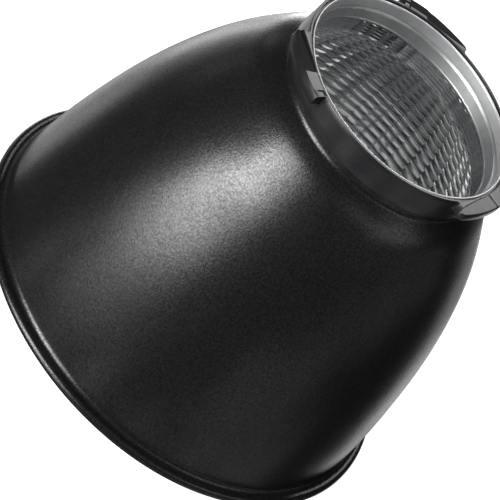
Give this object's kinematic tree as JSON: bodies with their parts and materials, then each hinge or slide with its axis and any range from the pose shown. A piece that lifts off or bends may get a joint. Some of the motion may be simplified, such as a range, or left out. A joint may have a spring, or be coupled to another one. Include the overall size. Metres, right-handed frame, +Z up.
{
  "type": "bowl reflector",
  "caption": "Flared bowl reflector with a bright faceted lining, a curled mouth and a twist-lock lug ring at the narrow end for a studio flash head.",
  "frame": {"origin": "centre of the mouth, in the plane the curled mouth edge rests on", "axes": "+Z up the axis from the wide mouth to the mount; one lug is centred 13.25 degrees clockwise of +X seen from the mount side"},
  "size_m": [0.19, 0.19, 0.1492],
  "materials": {
    "shell_coat": "fine-grain matte powder coat",
    "rim_steel": "drawn wire",
    "liner_bright": "bright pressed facets",
    "throat_bright": "fine turned",
    "ring_coat": "smooth satin"
  },
  "bodies": {
    "root": {"outer_shell": "shell_coat", "rim_wire": "rim_steel", "faceted_liner": "liner_bright", "neck_ferrule": "throat_bright", "throat_sleeve": "throat_bright", "mount_ring": "ring_coat"}
  },
  "joints": []
}
